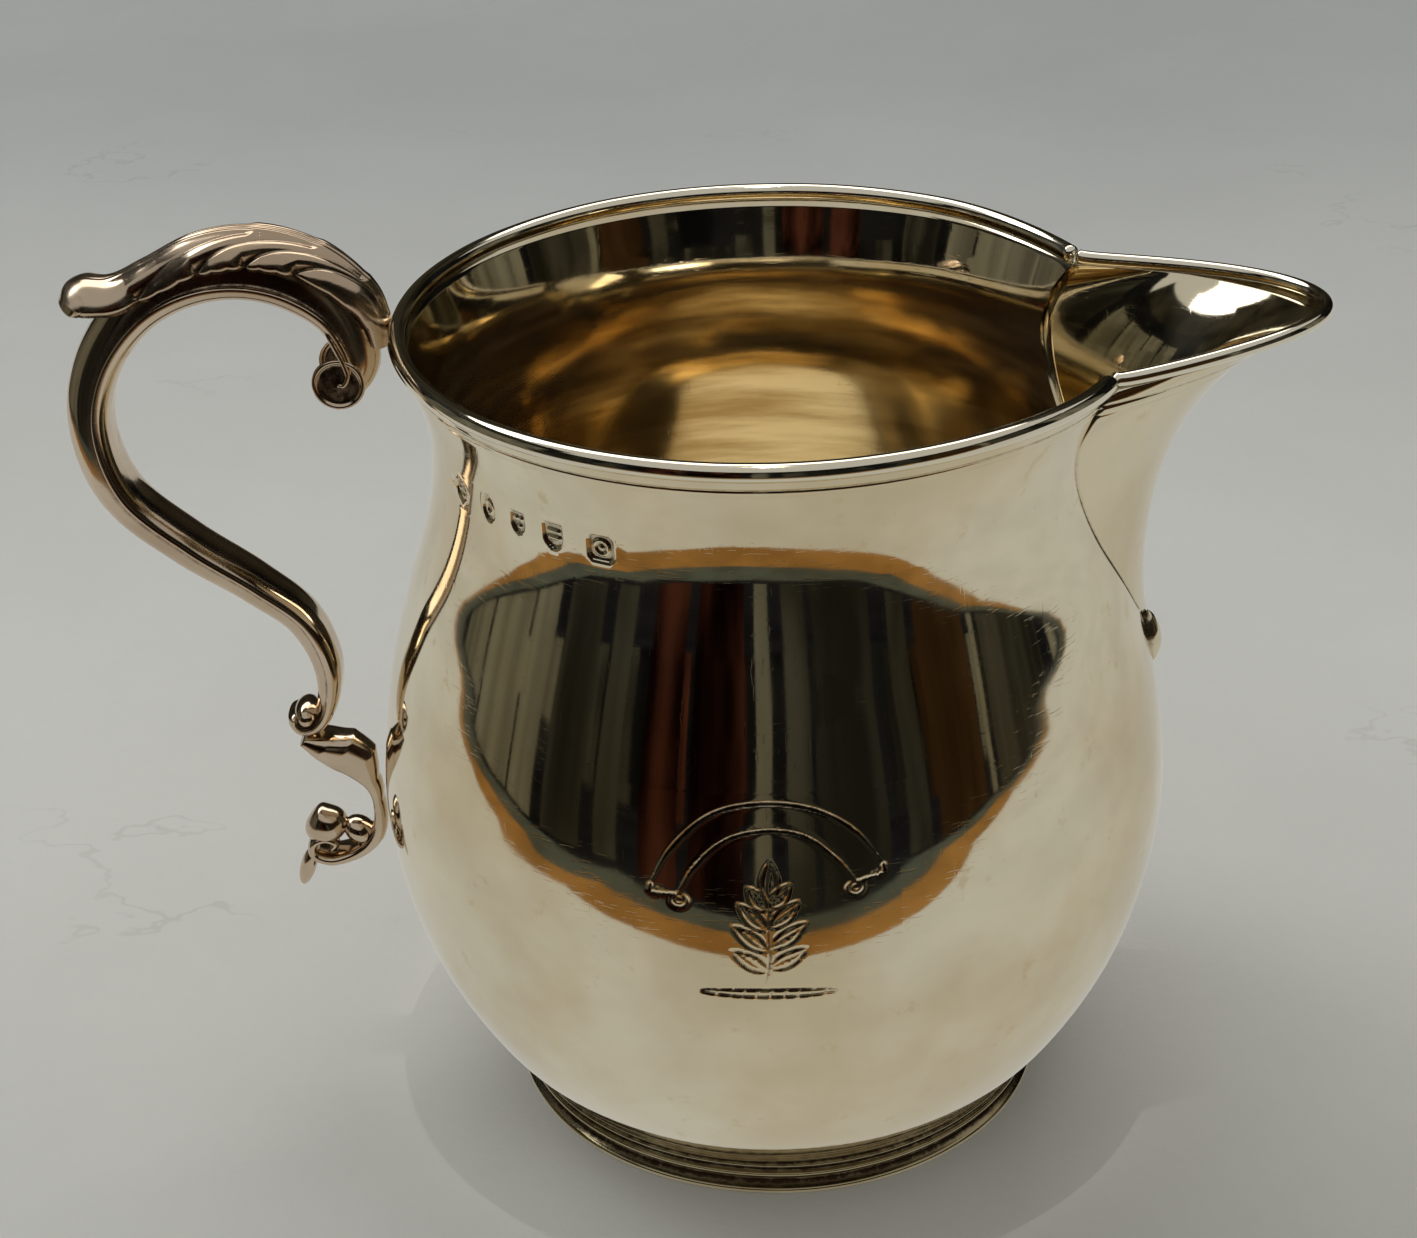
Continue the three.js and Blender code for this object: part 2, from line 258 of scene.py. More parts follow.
def ball(centre, radii, turn=0.0, rows=28, columns=40):
    """An ellipsoid as a grid, turned by an angle about Y."""
    polar = np.linspace(0, math.pi, rows)[:, None]
    sweep = np.linspace(0, 2 * math.pi, columns, endpoint=False)[None]
    x = radii[0] * np.sin(polar) * np.cos(sweep)
    y = radii[1] * np.sin(polar) * np.sin(sweep)
    z = radii[2] * np.cos(polar) * np.ones_like(sweep)
    c, s = math.cos(turn), math.sin(turn)
    return np.stack([x * c + z * s, y, z * c - x * s], axis=-1) + np.array(centre, float)


# ---- Materials ----

class Nodes:
    """Short calls for adding nodes to a material."""

    def __init__(self, name):
        self.material = bpy.data.materials.new(name)
        self.material.use_nodes = True
        self.tree = self.material.node_tree
        self.shader = self.tree.nodes["Principled BSDF"]
        self.place = self.add("ShaderNodeTexCoord").outputs["Object"]

    def add(self, kind, **settings):
        node = self.tree.nodes.new(kind)
        for key, value in settings.items():
            setattr(node, key, value)
        return node

    def put(self, socket, value):
        if isinstance(value, bpy.types.NodeSocket):
            self.tree.links.new(value, socket)
        else:
            socket.default_value = value

    def look(self, name, value):
        """Sets one of the shader's own inputs, or links a socket to it."""
        self.put(self.shader.inputs[name], value)

    def noise(self, scale, detail=3.0, rough=0.55, stretch=(1, 1, 1), turn=(0, 0, 0)):
        moved = self.add("ShaderNodeMapping")
        moved.inputs["Scale"].default_value = stretch
        moved.inputs["Rotation"].default_value = turn
        self.put(moved.inputs["Vector"], self.place)
        node = self.add("ShaderNodeTexNoise")
        self.put(node.inputs["Vector"], moved.outputs["Vector"])
        for key, value in (("Scale", scale), ("Detail", detail), ("Roughness", rough)):
            node.inputs[key].default_value = value
        return node.outputs["Fac"]

    def remap(self, value, low, high, to_low=0.0, to_high=1.0):
        node = self.add("ShaderNodeMapRange", interpolation_type="SMOOTHSTEP")
        self.put(node.inputs["Value"], value)
        for key, number in (("From Min", low), ("From Max", high),
                            ("To Min", to_low), ("To Max", to_high)):
            node.inputs[key].default_value = number
        return node.outputs["Result"]

    def math(self, kind, a, b):
        node = self.add("ShaderNodeMath", operation=kind)
        self.put(node.inputs[0], a)
        self.put(node.inputs[1], b)
        return node.outputs["Value"]

    def sum(self, a, b):
        return self.math("ADD", a, b)

    def times(self, a, b):
        return self.math("MULTIPLY", a, b)

    def mix(self, share, a, b, blend="MIX"):
        node = self.add("ShaderNodeMix", data_type="RGBA", blend_type=blend)
        self.put(node.inputs["Factor"], share)
        colours = [s for s in node.inputs if s.type == "RGBA"]
        for socket, colour in zip(colours, (a, b)):
            self.put(socket, colour if isinstance(colour, bpy.types.NodeSocket) else (*colour, 1))
        return next(s for s in node.outputs if s.type == "RGBA")

    def bump(self, height, distance, before=None):
        node = self.add("ShaderNodeBump")
        node.inputs["Distance"].default_value = distance
        node.inputs["Strength"].default_value = 1.0
        self.put(node.inputs["Height"], height)
        if before is not None:
            self.put(node.inputs["Normal"], before)
        return node.outputs["Normal"]

    def slope(self, heading, low, high):
        """0..1 along a heading of the piece's own coordinates, in metres."""
        along = self.add("ShaderNodeVectorMath", operation="DOT_PRODUCT")
        self.put(along.inputs[0], self.place)
        along.inputs[1].default_value = heading
        return self.remap(along.outputs["Value"], low, high)

    def attribute(self, name):
        return self.add("ShaderNodeAttribute", attribute_name=name).outputs["Fac"]


# Dark colour laid on by the cavity: tarnish in the hollows, and painted shade on the leaf's underside, the
# drop's back and the foot.
SOOT_AND_SHADE = (0.035, 0.022, 0.012)
DEEPER = (0.52, 0.44, 0.30)
SATIN_METAL = 0.12
WAVE_DEPTH = 0.00002
SCRATCH_DEPTH = 0.0000012
GRAIN_DEPTH = 0.0000008


def silver(name, tint, toned, roughness, stain, gilt=(0.62, 0.40, 0.10)):
    """Old polished silver: tint where bright, toned in drifting patches, soot in the hollows and painted
    shade elsewhere where the cavity says so, gilt where the mesh says so and soft where it is satin. stain
    is how strong the toning is."""
    n = Nodes(name)
    drift = n.remap(n.noise(38, 4), 0.38, 0.66)
    spots = n.remap(n.noise(260, 5, 0.62), 0.60, 0.74)
    cavity = n.attribute("cavity")
    golden = n.attribute("gilt")
    streaks = n.remap(n.noise(26, 5, 0.6, stretch=(1, 1, 9)), 0.36, 0.66)
    colour = n.mix(n.times(drift, stain), tint, toned)
    colour = n.mix(n.times(spots, stain), colour, toned)
    deep_gilt = tuple(c * k for c, k in zip(gilt, DEEPER))
    colour = n.mix(golden, colour, n.mix(streaks, deep_gilt, gilt))
    satin = n.attribute("satin")
    smudge = n.remap(n.noise(900, 6, 0.7), 0.35, 0.75, -0.25, 0.45)
    # Share of the dark colour: tarnish in the hollows, and painted shade where the cavity carries it.
    dark_share = n.remap(n.sum(cavity, n.times(smudge, cavity)), 0.1, 0.95)
    n.look("Base Color", n.mix(dark_share, colour, SOOT_AND_SHADE))
    n.look("Metallic", n.remap(satin, 0, 1, 1, SATIN_METAL))
    cloud = n.remap(n.noise(120, 6, 0.65), 0.3, 0.75, roughness * 0.75, roughness * 1.5)
    for field, rougher in ((dark_share, 0.24), (golden, 0.02), (satin, 0.3)):
        cloud = n.sum(cloud, n.times(field, rougher))
    n.look("Roughness", cloud)
    fine = n.noise(420, 2, 0.5, stretch=(1, 1, 9), turn=(0.5, 0.2, 0.1))
    cross = n.noise(300, 2, 0.5, stretch=(8, 1, 1), turn=(0.1, 0.4, 0.7))
    lines = n.sum(n.remap(fine, 0.62, 0.7), n.remap(cross, 0.66, 0.72))
    normal = n.bump(n.noise(70, 2), WAVE_DEPTH)
    normal = n.bump(lines, -SCRATCH_DEPTH, normal)
    normal = n.bump(n.noise(1500, 4, 0.6), GRAIN_DEPTH, normal)
    n.look("Normal", normal)
    return n.material


WARM = (0.85, 0.77, 0.59)
HONEY = (0.66, 0.52, 0.30)
body_silver = silver("silver_body", WARM, HONEY, 0.055, 0.6, gilt=(0.80, 0.68, 0.44))
spout_silver = silver("silver_spout", (0.81, 0.72, 0.53), HONEY, 0.06, 0.4, gilt=(0.76, 0.64, 0.38))
wire_silver = silver("silver_wire", (0.86, 0.80, 0.66), HONEY, 0.07, 0.2)
# The foot's darker tint and toning are partly tarnish and partly painted shade.
shaded_foot_silver = silver("silver_foot_shaded", (0.44, 0.37, 0.23), (0.26, 0.18, 0.08), 0.12, 0.6)
cast_silver = silver("silver_cast", (0.72, 0.60, 0.46), (0.44, 0.30, 0.19), 0.11, 0.6)
leaf_silver = silver("silver_leaf", (0.63, 0.51, 0.38), (0.42, 0.30, 0.20), 0.17, 0.6)
drop_silver = silver("silver_drop", (0.80, 0.72, 0.54), HONEY, 0.1, 0.4)


# ---- Body ----

body_line = smooth_line([
    [29.4, FOOT_HEIGHT], [34.6, 11.6], [39.6, 22.2], [BELLY_RADIUS, BELLY_HEIGHT], [40.8, 48.6],
    [37.9, 59.8], [35.1, 69.4], [34.35, 75.8], [34.85, 81.2], [LIP_RADIUS, LIP_HEIGHT],
], 400)


def body_radius(height):
    return np.interp(height, body_line[:, 1], body_line[:, 0])


seam_line = bezier([[1.5, SPOUT_FOOT_HEIGHT], [7, 56], [22.5, 84], [SPOUT_HALF_WIDTH, LIP_HEIGHT]])
beak_line = bezier([[39.9, SPOUT_FOOT_HEIGHT], [38.2, 61], [38.4, 85.5], [SPOUT_REACH - 0.4, LIP_HEIGHT]])


def seam_half_width(height):
    bulge = 0.4 * hump(np.asarray(height, float) - 80, 5)
    return np.interp(height, seam_line[:, 1], seam_line[:, 0]) + bulge


def beak_reach(height):
    return np.interp(height, beak_line[:, 1], beak_line[:, 0])


OPENING_FOOT = SPOUT_FOOT_HEIGHT + 1.0
WARP_END = 60.0
NEAR_SEAM = 4.2
THREAD_FOOT = 85.2
RIM_DIP = 0.65
dents = Waves(14, 34)


def rim_dip(azimuth, height):
    """How far the rim drops on its way to the spout's corners, azimuth in degrees from +X."""
    off = np.abs((np.asarray(azimuth, float) + 180) % 360 - 180)
    return -RIM_DIP * (1 - smoothstep(26, 60, off)) * smoothstep(74, LIP_HEIGHT, height)


def opening_edge(height):
    """Azimuth in degrees where the wall ends beside the spout; nothing is cut under the spout."""
    half = np.clip(seam_half_width(height) - WALL, 0.4, None)
    edge = np.degrees(np.arcsin(half / body_radius(height)))
    return np.where(np.asarray(height) > OPENING_FOOT, edge, 0.0)


def bent(azimuth, height):
    """Squeezes the columns near +X so that the first and last follow the opening's edges."""
    edge = opening_edge(height)
    near = edge + (WARP_END - edge) * azimuth / WARP_END
    far = 360 - (edge + (WARP_END - edge) * (360 - azimuth) / WARP_END)
    return np.where(azimuth < WARP_END, near, np.where(azimuth > 360 - WARP_END, far, azimuth))


def on_wall(azimuth, height, radius):
    """Points round the jug's axis, let down where the rim dips."""
    a = np.radians(azimuth)
    return np.stack([radius * np.cos(a), radius * np.sin(a), height + rim_dip(azimuth, height)], axis=-1)


# ---- Engraving and punches on the wall ----
# Strokes are drawn flat, in millimetres: across to the right, and up, from the middle of the design.

ENGRAVING_AZIMUTH = 269.1
ENGRAVING_HEIGHT = 43.0
ENGRAVING_SPAN = (251.0, 287.0)
ENGRAVING_HEIGHTS = (34.2, 56.2)
PUNCH_HEIGHT = 78.0
PUNCH_SPAN = (208.5, 246.0)
PUNCH_HEIGHTS = (75.8, 80.2)
STROKE_STEP = 0.07
HATCH_PLACES = (0.25, 0.42, 0.6)


def arc(centre, radii, start, end, count):
    a = np.radians(np.linspace(start, end, count))
    return np.stack([centre[0] + radii[0] * np.cos(a), centre[1] + radii[1] * np.sin(a)], axis=1)


def leaf_strokes(base, heading, length, width):
    """The outline, rib and shading lines of one engraved leaf: (points, half width, depth)."""
    c, s = math.cos(math.radians(heading)), math.sin(math.radians(heading))
    turn = np.array([[c, s], [-s, c]])
    along = np.linspace(0, 1, 16)
    swell = width * np.sin(math.pi * along ** 0.85) * (1 - 0.25 * along)
    sides = [np.stack([length * along, side * swell], axis=1) for side in (1, -1)]
    rib = np.stack([length * along, 0.12 * width * np.sin(2 * math.pi * along)], axis=1)
    hatch = [np.array([[length * t, 0], [length * (t + 0.12), -0.8 * width * math.sin(math.pi * t)]])
             for t in HATCH_PLACES]
    return ([(line @ turn + base, 0.15, 0.085) for line in sides]
            + [(rib @ turn + base, 0.11, 0.05)]
            + [(line @ turn + base, 0.09, 0.03) for line in hatch])


def engraving_strokes():
    """A plain ribbon over a sprig of leaves that stands on a bar: (points, half width, depth)."""
    outer = smooth_line([[-11.5, 3.7], [-9.6, 7.3], [-5.7, 10.9], [-0.5, 12.1], [4.9, 11.3],
                         [8.8, 8.9], [11.3, 5.6]], 120)
    inner = smooth_line([[-8.8, 2.8], [-7.2, 5.7], [-4.2, 8.5], [-0.4, 9.5], [3.6, 8.9],
                         [6.7, 6.5], [8.6, 4.0]], 120)
    strokes = [(outer, 0.22, 0.15), (inner, 0.22, 0.15), (inner * [1.03, 1.02] + [0, 0.25], 0.10, 0.04)]
    for end, curl, turn in ((outer[0], inner[0], -1), (outer[-1], inner[-1], 1)):
        tail = end + [turn * 0.2, -1.1]
        strokes += [(np.array([end, tail]), 0.2, 0.13), (np.array([tail, curl + [0, -0.1]]), 0.2, 0.13),
                    (arc(curl + [turn * -0.1, -0.6], (0.85, 0.75), 90, 90 - turn * 330, 30), 0.18, 0.12),
                    (arc(curl + [turn * -0.1, -0.6], (0.35, 0.3), 0, 360, 18), 0.12, 0.06)]
        strokes += [(end + (curl - end) * t + np.array([[0, -0.1], [turn * 0.1, -0.8]]), 0.09, 0.04)
                    for t in HATCH_PLACES]
    stem = smooth_line([[-0.4, -6.6], [0.1, -3.5], [-0.1, 0.0], [0.2, 3.2]], 60)
    strokes += [(stem, 0.16, 0.09), (stem + [0.35, 0], 0.10, 0.05)]
    for rise, length, spread in ((-4.6, 4.3, 32), (-2.4, 4.5, 38), (-0.2, 4.1, 44), (1.8, 3.3, 52)):
        strokes += leaf_strokes(np.array([0.15, rise]), spread, length, 0.85)
        strokes += leaf_strokes(np.array([-0.1, rise - 0.3]), 180 - spread, length, 0.85)
    strokes += leaf_strokes(np.array([0.1, 2.6]), 90, 4.1, 0.95)
    bar = arc((0.0, -7.5), (6.6, 0.42), 0, 360, 120)
    strokes += [(bar, 0.19, 0.13)]
    strokes += [(np.array([[x, -7.95], [x + 0.35, -7.1]]), 0.10, 0.06) for x in np.arange(-5.2, 5.6, 1.3)]
    return strokes


def stroke_depth(across, up, strokes):
    """Depth of the nearest strokes at each point, in millimetres."""
    samples, widths, depths = [], [], []
    for points, width, depth in strokes:
        t = np.linspace(0, 1, max(3, int(run_length(points)[-1] / STROKE_STEP)))
        knots = np.linspace(0, 1, len(points))
        samples.append(np.stack([np.interp(t, knots, column) for column in points.T], axis=1))
        taper = 0.35 + 0.65 * np.minimum(1, 6 * np.minimum(t, 1 - t))
        widths.append(width * taper)
        depths.append(depth * taper)
    samples, widths, depths = np.vstack(samples), np.concatenate(widths), np.concatenate(depths)
    tree = kdtree.KDTree(len(samples))
    for i, (x, y) in enumerate(samples):
        tree.insert((x, y, 0), i)
    tree.balance()
    cut = np.zeros(len(across))
    for k, (x, y) in enumerate(zip(across, up)):
        _, i, far = tree.find((x, y, 0))
        cut[k] = depths[i] * math.exp(-(far / widths[i]) ** 2)
    return cut


def shield(x, y, half_width, half_height):
    """How far a point lies outside a shield: square above, round below."""
    side = np.abs(x) - half_width * np.where(y > 0, 1, np.sqrt(np.clip(1 - (y / half_height) ** 2, 0, 1)))
    return np.maximum(side, np.abs(y) - half_height)


def pips(x, y, spots, radius):
    """How far a point lies outside the nearest of some round pips."""
    return np.min([np.hypot(x - px, y - py) - radius for px, py in spots], axis=0)


def punch_relief(azimuth, height):
    """Depth of the five punches: plain cartouches with pips, rings and bars that stand up in them."""
    depth = np.zeros(len(azimuth))
    for centre, kind in ((210.4, 0), (219.0, 1), (226.4, 2), (234.0, 3), (243.0, 4)):
        x = np.radians(azimuth - centre) * body_radius(PUNCH_HEIGHT)
        y = height - PUNCH_HEIGHT
        if kind == 0:
            edge = np.abs(x) * 0.95 + np.abs(y) * 0.75 - 1.25 + 0.12 * np.cos(4 * np.arctan2(y, x))
            inner = pips(x, y, ((0, 0.7), (0, -0.7), (0.55, 0), (-0.55, 0)), 0.24)
        elif kind == 1:
            edge = np.hypot(x / 0.95, y / 1.45) * 1.2 - 1.2
            inner = np.abs(np.hypot(x, y * 0.75) - 0.5) - 0.17
        elif kind == 2:
            edge = shield(x, y, 0.9, 1.2)
            inner = pips(x, y, ((0, -0.45), (0.35, 0.4), (-0.35, 0.4)), 0.26)
        elif kind == 3:
            edge = shield(x, y, 1.15, 1.4)
            inner = np.minimum(np.abs(y - 0.45) - 0.17, np.abs(y + 0.3) - 0.17)
            inner = np.maximum(inner, np.abs(x) - 0.75)
        else:
            edge = np.maximum(np.maximum(np.abs(x), np.abs(y)) - 1.35, np.abs(x) + np.abs(y) - 2.3)
            inner = np.minimum(np.abs(np.hypot(x, y) - 0.75) - 0.16, np.hypot(x, y) - 0.26)
        sunk = 0.26 * smoothstep(0.12, -0.18, edge)
        sunk -= 0.2 * smoothstep(0.1, -0.12, inner) * smoothstep(0.0, -0.3, edge)
        sunk -= 0.03 * hump(edge - 0.25, 0.18)
        depth += sunk
    return depth


def wall_rows():
    """Heights of the wall's rows, each with its azimuth columns: fine only where the wall is cut."""
    coarse = np.round(stretches((0, NEAR_SEAM, 0.42), (NEAR_SEAM, 46, 2.3), (46, 314, 3.0),
                                (314, 360 - NEAR_SEAM, 2.3), (360 - NEAR_SEAM, 360, 0.42)), 4)
    columns = {None: coarse}
    for span, step in ((ENGRAVING_SPAN, 0.23), (PUNCH_SPAN, 0.27)):
        columns[span] = np.unique(np.concatenate([coarse, np.round(stretches((*span, step)), 4)]))
    rows = []
    for low, high, step, span in (
            (FOOT_HEIGHT, ENGRAVING_HEIGHTS[0], 1.3, None),
            (*ENGRAVING_HEIGHTS, 0.16, ENGRAVING_SPAN),
            (ENGRAVING_HEIGHTS[1], PUNCH_HEIGHTS[0], 1.3, None),
            (*PUNCH_HEIGHTS, 0.17, PUNCH_SPAN),
            (PUNCH_HEIGHTS[1], THREAD_FOOT, 1.0, None),
            (THREAD_FOOT, LIP_HEIGHT, 0.11, None)):
        rows += [(height, columns[span]) for height in stretches((low, high, step))[:-1]]
    return rows + [(LIP_HEIGHT, coarse)]


def thread_depth(height):
    """Two fine lines cut round the wall under the rim wire."""
    return sum(depth * hump(height - at, 0.16) for at, depth in ((86.35, 0.13), (85.8, 0.05)))


def inside_patch(azimuth, height, span, heights):
    return (azimuth > span[0]) & (azimuth < span[1]) & (height > heights[0]) & (height < heights[1])


def build_wall(shape):
    """The wall's outer face, with its engraving, punches, threads and seam grooves."""
    rows = wall_rows()
    azimuth = np.concatenate([columns for _, columns in rows])
    height = np.concatenate([np.full(len(columns), z) for z, columns in rows])
    depth = thread_depth(height)
    cut = np.zeros(len(azimuth))
    here = inside_patch(azimuth, height, ENGRAVING_SPAN, ENGRAVING_HEIGHTS)
    reach = body_radius(ENGRAVING_HEIGHT)
    cut[here] = stroke_depth(np.radians(azimuth[here] - ENGRAVING_AZIMUTH) * reach,
                             height[here] - ENGRAVING_HEIGHT, engraving_strokes())
    here = inside_patch(azimuth, height, PUNCH_SPAN, PUNCH_HEIGHTS)
    punched = punch_relief(azimuth[here], height[here])
    cut[here] = punched
    turned = bent(azimuth, height)
    seam_gap = np.abs(np.minimum(turned, 360 - turned) * math.pi / 180 * body_radius(height)
                      - seam_half_width(height) * 1.03)
    seam = np.where(height > OPENING_FOOT + 1, hump(seam_gap, 0.36), 0)
    cavity = np.clip(cut * 8 + depth * 3.5 + 1.1 * seam, 0, 1)
    cavity[here] = np.clip(punched * 1.9, 0, 1)
    cavity += 0.5 * hump(height - FOOT_HEIGHT, 0.7)
    swell = 0.035 * dents(on_wall(turned, height, 1.0) * [BELLY_RADIUS, BELLY_RADIUS, 1])
    swell *= smoothstep(5, 14, height) * smoothstep(LIP_HEIGHT, LIP_HEIGHT - 6, height)
    radius = body_radius(height) - depth - cut - 0.2 * seam + swell
    points = on_wall(turned, height, radius)
    faces, start = [], 0
    for (_, low), (_, high) in zip(rows, rows[1:]):
        shared = np.intersect1d(low, high)
        a, b = np.searchsorted(low, shared), np.searchsorted(high, shared)
        above = start + len(low)
        for k in range(len(shared) - 1):
            faces.append([*range(start + a[k], start + a[k + 1] + 1),
                          *range(above + b[k + 1], above + b[k] - 1, -1)])
        start = above
    shape.add(points, faces, cavity)


def build_inside(shape):
    """The wall's inner face, its cut edges beside the spout, the lip and the floor."""
    azimuth = stretches((0, NEAR_SEAM, 0.8), (NEAR_SEAM, 360 - NEAR_SEAM, 2.6), (360 - NEAR_SEAM, 360, 0.8))
    height = stretches((BASE_HEIGHT + WALL + 2.2, 80, 1.4), (80, LIP_HEIGHT, 0.7))
    a, z = np.meshgrid(azimuth, height)
    turned = bent(a, z)
    ripple = 0.06 * hammer(on_wall(turned, z, body_radius(z))) * smoothstep(LIP_HEIGHT, 74, z)
    radius = body_radius(z) - WALL - ripple
    gilt = smoothstep(84, 78, z + 1.2 * hammer(on_wall(turned, z, 30)))
    shape.sheet(on_wall(turned, z, radius), gilt=gilt, satin=0.11 * gilt)
    top = np.stack([on_wall(turned[-1], z[-1], radius[-1]), on_wall(turned[-1], z[-1], radius[-1] + WALL)])
    shape.sheet(top)
    tall = stretches((OPENING_FOOT + 0.1, LIP_HEIGHT, 0.6))
    for side in (1, -1):
        edge = side * opening_edge(tall)
        strip = [on_wall(edge, tall, body_radius(tall) - WALL * t) for t in np.linspace(0, 1, 4)]
        shape.sheet(np.stack(strip, axis=1), cavity=0.15, gilt=0.4)
    build_floor(shape, azimuth, height[0])


def build_floor(shape, azimuth, rim):
    """The bowl's floor, a frosted disc inside a shallow ring groove, and the flat underside."""
    out = body_radius(rim) - WALL
    profile = smooth_line([[0.02, 5.2], [8, 5.15], [14.6, 5.05], [16.3, 4.6], [17.4, 4.7], [23.0, 5.0],
                           [out, rim]], 60)
    a, r = np.meshgrid(azimuth, profile[:, 0])
    z = np.interp(r, profile[:, 0], profile[:, 1])
    points = on_wall(a, z, r)
    points[..., 2] += 0.05 * hammer(points)
    beyond = smoothstep(15.9, 17.2, r)
    shape.sheet(points, gilt=0.9 * beyond, satin=1.0 - 0.89 * beyond)
    under = np.array([[29.4, FOOT_HEIGHT], [28.2, 3.9], [BASE_RADIUS, BASE_HEIGHT],
                      [13, BASE_HEIGHT - 0.1], [0.02, BASE_HEIGHT]])
    a, r = np.meshgrid(azimuth, under[:, 0])
    shape.sheet(on_wall(a, np.broadcast_to(under[:, 1:], a.shape), r), cavity=0.25)


hammer = Waves(9, 26)
shape = Shape()
build_wall(shape)
build_inside(shape)
shape.finish("jug_body", body_silver, "body_shell")

# ---- Foot ring ----

shape = Shape()
foot_profile = smooth_line([
    [26.5, 0.1], [FOOT_RADIUS - 0.35, 0.1], [FOOT_RADIUS, 0.3], [FOOT_RADIUS, 0.62],
    [FOOT_RADIUS - 0.35, 0.85], [FOOT_RADIUS - 0.95, 1.35], [FOOT_RADIUS - 0.75, 1.95],
    [FOOT_RADIUS - 0.3, 2.2], [FOOT_RADIUS - 0.25, 2.5], [FOOT_RADIUS - 0.7, 2.72],
    [FOOT_RADIUS - 0.85, 3.1], [FOOT_RADIUS - 0.35, 3.4], [FOOT_RADIUS - 0.15, 3.7],
    [FOOT_RADIUS - 0.55, 3.95], [FOOT_RADIUS - 0.45, 4.3], [FOOT_RADIUS + 0.05, 4.5],
    [FOOT_RADIUS - 0.4, 4.75], [26.6, 4.5], [26.5, 0.1]], 90)
a, r, z = lathe(foot_profile, 180)
a = np.degrees(a)
hollow = sum(hump(z - at, 0.28) for at in (1.25, 2.95, 4.05)) * smoothstep(27.5, 28.3, r)
wobble = 0.04 * hammer(on_wall(a, z, r)) - 0.05
# A soot share of 0.15 all over the foot is painted shade; the soot in its grooves is tarnish.
shape.sheet(on_wall(a, z, r + np.where(r > 27.5, wobble, 0)), around=True,
            cavity=np.clip(0.15 + hollow, 0, 0.95))
shape.finish("foot_moulding", shaded_foot_silver, "foot_ring")

# ---- Rim wire, spout and its wire ----


def spout_side(height, inset=0.0, count=40):
    """The spout's plan at each height: right side, root to tip, then left side, tip to root."""
    height = np.atleast_1d(height)
    plan = bezier([[0, 1], [0.46, 0.78], [1, 0.42], [1, 0]], count)
    half = (seam_half_width(height) - inset)[:, None]
    reach = (beak_reach(height) - inset)[:, None]
    root = np.sqrt(body_radius(height)[:, None] ** 2 - half ** 2)
    x = root + plan[None, :, 0] * (reach - root)
    y = plan[None, :, 1] * half
    right = np.stack([x, -y], axis=-1)
    left = np.stack([x, y], axis=-1)[:, ::-1][:, 1:]
    return np.concatenate([right, left], axis=1)


def lip_rise(x):
    """The spout's lip starts at the dipped corner and climbs a little to its tip."""
    return -RIM_DIP + 1.0 * smoothstep(31, SPOUT_REACH, x) ** 0.9


def spout_sheet(inset, low):
    """The spout's face at an inset from its outside, with each point's height before the lip's rise."""
    height = stretches((low, 60, 0.5), (60, 84.5, 0.8), (84.5, LIP_HEIGHT, 0.12))
    plan = spout_side(height, inset)
    z = np.broadcast_to(height[:, None], plan.shape[:2])
    lift = lip_rise(plan[..., 0]) * smoothstep(76, LIP_HEIGHT, z)
    grid = np.concatenate([plan, (z + lift)[..., None]], axis=-1)
    tucked = grid * [0.985, 0.985, 1]
    return np.concatenate([tucked[:, :1], grid, tucked[:, -1:]], axis=1), z


shape = Shape()
outside, z = spout_sheet(0.0, SPOUT_FOOT_HEIGHT)
line_cut = sum(depth * hump(z - at, 0.15) for at, depth in ((86.2, 0.12), (85.3, 0.07)))
line_cut = np.concatenate([line_cut[:, :1], line_cut, line_cut[:, -1:]], axis=1)
push = outside[..., :2] - [30.0, 0.0]
push /= np.linalg.norm(push, axis=-1)[..., None]
outside[..., :2] -= push * line_cut[..., None]
column = np.arange(outside.shape[1])
from_root = np.minimum(column, column[::-1])
root_dark = np.broadcast_to(np.clip(1 - from_root / 1.5, 0, 1), line_cut.shape)
shape.sheet(outside, cavity=np.clip(line_cut * 3.5 + 0.8 * root_dark, 0, 1))
inside, _ = spout_sheet(WALL, SPOUT_FOOT_HEIGHT + 2)
ripple = 0.05 * hammer(inside)
inside[..., 1] += ripple * np.sign(inside[..., 1])
shape.sheet(inside, gilt=0.75 * smoothstep(47, 34, inside[..., 0]) * smoothstep(86, 80, inside[..., 2]))
shape.sheet(np.stack([outside[-1], inside[-1]]))
shape.finish("spout_shell", spout_silver, "spout")


def rounded_ends(line, radius, end):
    """Radii that close a tube to a round end over its last stretch."""
    along = run_length(line)
    near = np.minimum(along, along[-1] - along)
    return radius * np.sqrt(np.clip(1 - (1 - np.clip(near / end, 0, 1)) ** 2, 1e-4, 1))


shape = Shape()
corner = math.degrees(math.asin(SPOUT_HALF_WIDTH / RIM_RADIUS)) - 0.1
END_RUN = 2.4
turn = stretches((corner, corner + END_RUN, 0.2), (corner + END_RUN, 360 - END_RUN - corner, 1.5),
                 (360 - END_RUN - corner, 360 - corner, 0.2))
line = on_wall(turn, np.full(len(turn), LIP_HEIGHT), RIM_RADIUS) + [0, 0, WIRE_HEIGHT - LIP_HEIGHT]
line[:, :2] *= (1 + 0.0012 * hammer(line))[:, None]
shape.sheet(tube(line, rounded_ends(line, WIRE_RADIUS, 0.8)), around=True)
shape.finish("rim_bead", wire_silver, "rim_wire")

